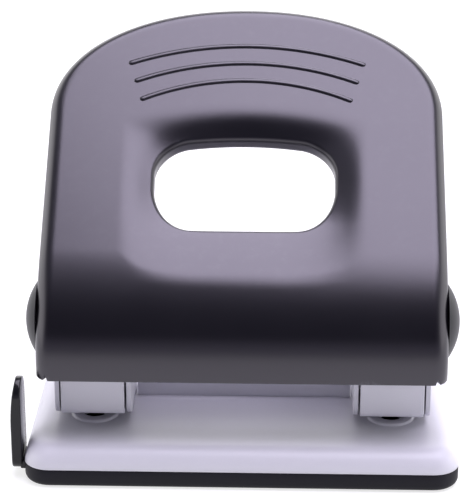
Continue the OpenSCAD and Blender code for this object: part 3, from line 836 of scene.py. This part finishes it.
def makeTraySkin():
    t = tray
    soft = t["softR"]
    innerR = t["edgeR"] - t["floor"]
    rings = [trayRing(t["edgeR"] + t["flatFrom"], 0.0, t["edgeR"])]
    for k in range(t["edgeSteps"] + 1):            # out and up round the lower edge
        a = math.pi / 2 * k / t["edgeSteps"]
        rings.append(trayRing(t["edgeR"] * (1 - math.sin(a)), t["edgeR"] * (1 - math.cos(a))))
    rings.append(trayRing(0.0, t["rim"] - soft))
    rings.append(trayRing(soft, t["rim"]))
    rings.append(trayRing(t["lipIn"], t["rim"]))
    rings.append(trayRing(t["lipIn"], t["lipTop"] - soft / 2))
    rings.append(trayRing(t["lipIn"] + soft / 2, t["lipTop"], t["lipIn"]))
    rings.append(trayRing(t["wall"], t["lipTop"]))
    for k in range(t["edgeSteps"] + 1):            # down the inside and over to the floor
        a = math.pi / 2 * (1 - k / t["edgeSteps"])
        inset = t["wall"] + innerR * (1 - math.sin(a))
        rings.append(trayRing(inset, t["floor"] + innerR * (1 - math.cos(a))))
    rings.append(trayRing(t["wall"] + innerR + t["flatFrom"], t["floor"], t["wall"] + innerR))
    bm = bmesh.new()
    loops = [[bm.verts.new(p) for p in ring] for ring in rings]
    for lower, upper in zip(loops, loops[1:]):
        joinLoops(bm, lower, upper)
    fillWithHoles(bm, [loops[0]])
    fillWithHoles(bm, [loops[-1]])
    piece = fromBmesh("traySkin", bm, finish["trayPlastic"], "tray")
    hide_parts("chip_tray")
    notch = t["notch"]
    low = (-base["half"] - notch["outside"], notch["y"][0], notch["z"])
    high = (-base["half"] + t["wall"] + notch["inside"], notch["y"][1], notch["top"])
    cutAway(piece, *boxForm(low, high))


makeBaseSkin()
makeTraySkin()
print("base rolled and tray moulded")


cap = {
    "height": 0.0035, "wall": 0.0012, "edgeR": 0.00025, "arcSteps": 20, "around": 72,
}


def capProfile(radius):
    # (radius, height) of the domed cap, from the middle over the dome and back along the inside
    height, edgeR, steps = cap["height"], cap["edgeR"], cap["arcSteps"]
    ball = (radius ** 2 + height ** 2) / (2 * height)
    inner, depth = ball - cap["wall"], ball - height
    dome = [math.asin(radius / ball) * k / steps for k in range(steps)]
    hollow = [math.acos(depth / inner) * (1 - k / steps) for k in range(steps + 1)]
    profile = [(ball * math.sin(a), height - ball * (1 - math.cos(a))) for a in dome]
    profile += [(radius - edgeR, edgeR * 0.8), (radius, edgeR * 0.4), (radius - edgeR / 2, 0.0)]
    return profile + [(inner * math.sin(a), inner * math.cos(a) - depth) for a in hollow]


def makePivotCap(name, node, side):
    low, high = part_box(node)
    centreY, centreZ = (low.y + high.y) / 2, (low.z + high.z) / 2
    seat = low.x if side > 0 else high.x
    verts, rows, faces = [], [], []
    for r, h in capProfile((high.y - low.y) / 2):
        if r < 1e-6:                               # one point in the middle
            rows.append([len(verts)] * cap["around"])
            verts.append((seat + side * h, centreY, centreZ))
            continue
        rows.append(list(range(len(verts), len(verts) + cap["around"])))
        for k in range(cap["around"]):
            a = 2 * math.pi * k / cap["around"]
            verts.append((seat + side * h, centreY + r * math.cos(a), centreZ + r * math.sin(a)))
    for lower, upper in zip(rows, rows[1:]):
        for i in range(cap["around"]):
            j = (i + 1) % cap["around"]
            faces.append(tuple(dict.fromkeys((lower[i], lower[j], upper[j], upper[i]))))
    piece = addPiece(name, verts, faces, finish["capPlastic"], "handle")
    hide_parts(node)


spring = {
    "wire": 0.0009, "coils": 8, "closedPitch": 1.02, "stepsPerCoil": 40, "sides": 12, "keep": 0.66,
}


def coilHeight(turn, bottom, top):
    # the first and last turn lie closed, the others share the rest of the height
    closed = spring["wire"] * spring["closedPitch"]
    if turn < 1:
        return bottom + closed * turn
    if turn > spring["coils"] - 1:
        return top - closed * (spring["coils"] - turn)
    return bottom + closed + (top - bottom - 2 * closed) * (turn - 1) / (spring["coils"] - 2)


def makeReturnSpring(name, node):
    low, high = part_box(node)
    centreX = (low.x + high.x) / 2
    wireR = spring["wire"] / 2
    radius = (high.x - low.x) / 2 - wireR
    verts, rows, faces = [], [], []
    for k in range(spring["coils"] * spring["stepsPerCoil"] + 1):
        turn = k / spring["stepsPerCoil"]
        z = coilHeight(turn, low.z + wireR, high.z - wireR)
        a = 2 * math.pi * turn
        rows.append(list(range(len(verts), len(verts) + spring["sides"])))
        for j in range(spring["sides"]):
            b = 2 * math.pi * j / spring["sides"]
            r = radius + wireR * math.cos(b)
            verts.append((centreX + r * math.cos(a), r * math.sin(a), z + wireR * math.sin(b)))
    for lower, upper in zip(rows, rows[1:]):
        strip(faces, lower, upper, True)
    faces.append(tuple(rows[0]))
    faces.append(tuple(reversed(rows[-1])))
    piece = addPiece(name, verts, faces, finish["springSteel"], "base")
    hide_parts(node)
    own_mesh(piece)


for side, label in ((-1, "left"), (1, "right")):
    makePivotCap(label + "Cap", "pivot_cap_" + label, side)
    makeReturnSpring(label + "Spring", "return_spring_" + label)

guide = {
    "thick": 0.0028, "thin": 0.0016, "leanFrom": 0.0125, "bottomR": 0.0032, "edgeR": 0.00045, "rows": 12,
    "edgeSteps": 4, "softEdge": 0.0003,
    # the ruler's end on Y and Z, and how far it runs into the upright
    "ruler": {"y": (-0.0180, -0.0090), "z": (0.0026, 0.0049), "into": 0.0006},
}


def guideLevels(low, high):
    # (height, half width) of the upright: rounded foot, straight sides, round head
    g, half, rows = guide, (high.y - low.y) / 2, guide["rows"]
    foot = [math.pi / 2 * k / rows for k in range(rows + 1)]
    head = [math.pi / 4 * k / rows for k in range(2 * rows)]
    span = high.z - half - low.z - g["bottomR"]
    levels = [(low.z + g["bottomR"] * (1 - math.cos(a)), half - g["bottomR"] * (1 - math.sin(a)))
              for a in foot]
    levels += [(low.z + g["bottomR"] + span * k / rows, half) for k in range(1, rows)]
    return levels + [(high.z - half + half * math.sin(a), half * math.cos(a)) for a in head]


def makePaperGuide():
    g = guide
    low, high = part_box("paper_guide")
    inner, middle = low.x + g["thick"], (high.y + low.y) / 2
    verts, rows, faces = [], [], []
    for z, reach in guideLevels(low, high):
        lean = max(0.0, (z - low.z - g["leanFrom"]) / (high.z - low.z - g["leanFrom"]))
        thick = g["thick"] - (g["thick"] - g["thin"]) * lean ** 2
        edgeR = min(g["edgeR"], reach * 0.4)       # smaller where the head narrows
        ring = roundedOutline(thick / 2, middle - reach, middle + reach, edgeR, g["edgeSteps"])
        rows.append(list(range(len(verts), len(verts) + len(ring))))
        verts.extend((inner - thick / 2 + x, y, z) for x, y in ring)
    for lower, upper in zip(rows, rows[1:]):
        strip(faces, lower, upper, True)
    faces.append(tuple(reversed(rows[0])))
    faces.append(tuple(rows[-1]))
    upright = addPiece("guideUpright", verts, faces, finish["glossBlack"], "guide")
    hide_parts("paper_guide")
    (y0, y1), (z0, z1) = g["ruler"]["y"], g["ruler"]["z"]
    rulerForm = boxForm((inner - g["ruler"]["into"], y0, z0), (high.x, y1, z1))
    ruler = addPiece("guideRuler", *rulerForm, finish["glossBlack"], "guide")
    softenEdges(ruler, g["softEdge"])
    settle(ruler)


makePaperGuide()
print("caps, springs and paper guide made")


# finishes of the pieces that stay as the frame has them
nodeFinish = {
    "lilacEnamel": ["tower_left", "tower_right", "punch_guide_left", "punch_guide_right", "paper_stop"],
    "zincSteel": ["tower_rivets", "stop_rivets", "hinge_pin_left", "hinge_pin_right", "guide_channel",
                  "channel_studs"],
    "brightSteel": ["press_bar", "punch_pin_left", "punch_pin_right"],
    "springSteel": ["pin_clip_left", "pin_clip_right", "guide_spring"],
    "capPlastic": ["pivot_washer_left", "pivot_washer_right"],
}
enamelled = {"weldWithin": 0.000005, "softEdge": 0.00022}


def softenEnamel(piece):
    # paint rounds the edges of the pressed sheet
    weld = piece.modifiers.new("weld", "WELD")
    weld.merge_threshold = enamelled["weldWithin"]
    softenEdges(piece, enamelled["softEdge"])


for name, members in nodeFinish.items():
    for member in members:
        nodes[member].data.materials.clear()
        nodes[member].data.materials.append(finish[name])
        if name == "lilacEnamel":
            softenEnamel(nodes[member])
print("other pieces finished")

studio = {
    "floorSize": 12.0, "floorDrop": 0.0001, "floorColour": (0.40, 0.40, 0.40), "floorGlow": 0.70,
    "floorRoughness": 0.8, "floorSpecular": 0.1,
    # sky colours by the sine of the height above the horizon, in front and elsewhere
    "skyStrength": 2.15,
    "frontSky": [(0.0, (0.20, 0.19, 0.24)), (0.25, (0.20, 0.19, 0.24)), (0.40, (0.005, 0.005, 0.01)),
                 (0.80, (0.005, 0.005, 0.01)), (0.90, (0.05, 0.05, 0.07)), (1.0, (0.05, 0.05, 0.07))],
    "restSky": [(0.0, (1.0, 0.99, 1.0)), (0.50, (1.0, 0.99, 1.0)), (0.66, (0.15, 0.15, 0.16)),
                (0.80, (0.10, 0.10, 0.12)), (1.0, (0.05, 0.05, 0.07))],
    "frontEdge": (-0.35, -0.70),    # where one sky turns into the other, on Y
    "lights": [
        # name, place, aim, width, depth, colour, watts
        ("overhead", (0.11, 0.08, 0.80), (0.0, 0.0, 0.05), 0.90, 0.65, (0.97, 0.915, 1.09), 11.0),
    ],
}


def makeSky():
    # two skies, one in front of the punch and a brighter one round the rest
    world = bpy.data.worlds.new("studio")
    world.use_nodes = True
    tree = world.node_tree
    apart = tree.nodes.new("ShaderNodeSeparateXYZ")
    tree.links.new(tree.nodes.new("ShaderNodeTexCoord").outputs["Generated"], apart.inputs[0])
    skies = []
    for bands in (studio["restSky"], studio["frontSky"]):
        ramp = tree.nodes.new("ShaderNodeValToRGB")
        steps = ramp.color_ramp.elements
        while len(steps) < len(bands):
            steps.new(0.5)
        for step, (height, colour) in zip(steps, bands):
            step.position, step.color = height, (*colour, 1)
        tree.links.new(apart.outputs["Z"], ramp.inputs["Fac"])
        skies.append(ramp.outputs["Color"])
    inFront = mapRange(tree, apart.outputs["Y"], *studio["frontEdge"])
    tree.links.new(mixColour(tree, inFront, *skies), tree.nodes["Background"].inputs["Color"])
    tree.nodes["Background"].inputs["Strength"].default_value = studio["skyStrength"]
    scene.world = world


def makeStudio():
    bpy.ops.mesh.primitive_plane_add(size=studio["floorSize"], location=(0, 0, -studio["floorDrop"]))
    floor = bpy.context.object
    floor.name = "floor"
    paper = bpy.data.materials.new("floorPaper")
    paper.use_nodes = True
    shader = paper.node_tree.nodes["Principled BSDF"]
    shader.inputs["Base Color"].default_value = (*studio["floorColour"], 1)
    shader.inputs["Roughness"].default_value = studio["floorRoughness"]
    shader.inputs["Specular IOR Level"].default_value = studio["floorSpecular"]
    shader.inputs["Emission Color"].default_value = (1, 1, 1, 1)
    shader.inputs["Emission Strength"].default_value = studio["floorGlow"]
    floor.data.materials.append(paper)
    makeSky()
    for name, place, aim, width, depth, colour, watts in studio["lights"]:
        light = bpy.data.lights.new(name, "AREA")
        light.shape = "RECTANGLE"
        light.size, light.size_y, light.energy = width, depth, watts
        light.color = colour
        lamp = bpy.data.objects.new(name, light)
        lamp.location = place
        lamp.rotation_mode = "QUATERNION"
        lamp.rotation_quaternion = (Vector(aim) - Vector(place)).to_track_quat("-Z", "Y")
        scene.collection.objects.link(lamp)


camera = {
    "azimuth": math.radians(1.64), "elevation": math.radians(21.0), "distance": 0.52886,
    "target": (-0.0021, 0.0, 0.0583), "lens": 144.47, "clip": (0.01, 50),
}


def makeCamera():
    a, e = camera["azimuth"], camera["elevation"]
    forward = Vector((-math.sin(a) * math.cos(e), math.cos(a) * math.cos(e), -math.sin(e)))
    data = bpy.data.cameras.new("camera")
    data.lens = camera["lens"]
    data.clip_start, data.clip_end = camera["clip"]
    eye = bpy.data.objects.new("camera", data)
    eye.location = Vector(camera["target"]) - forward * camera["distance"]
    eye.rotation_mode = "QUATERNION"
    eye.rotation_quaternion = forward.to_track_quat("-Z", "Y")
    scene.collection.objects.link(eye)
    scene.camera = eye


makeStudio()
makeCamera()
scene.view_settings.view_transform = "Standard"
print("studio lit")
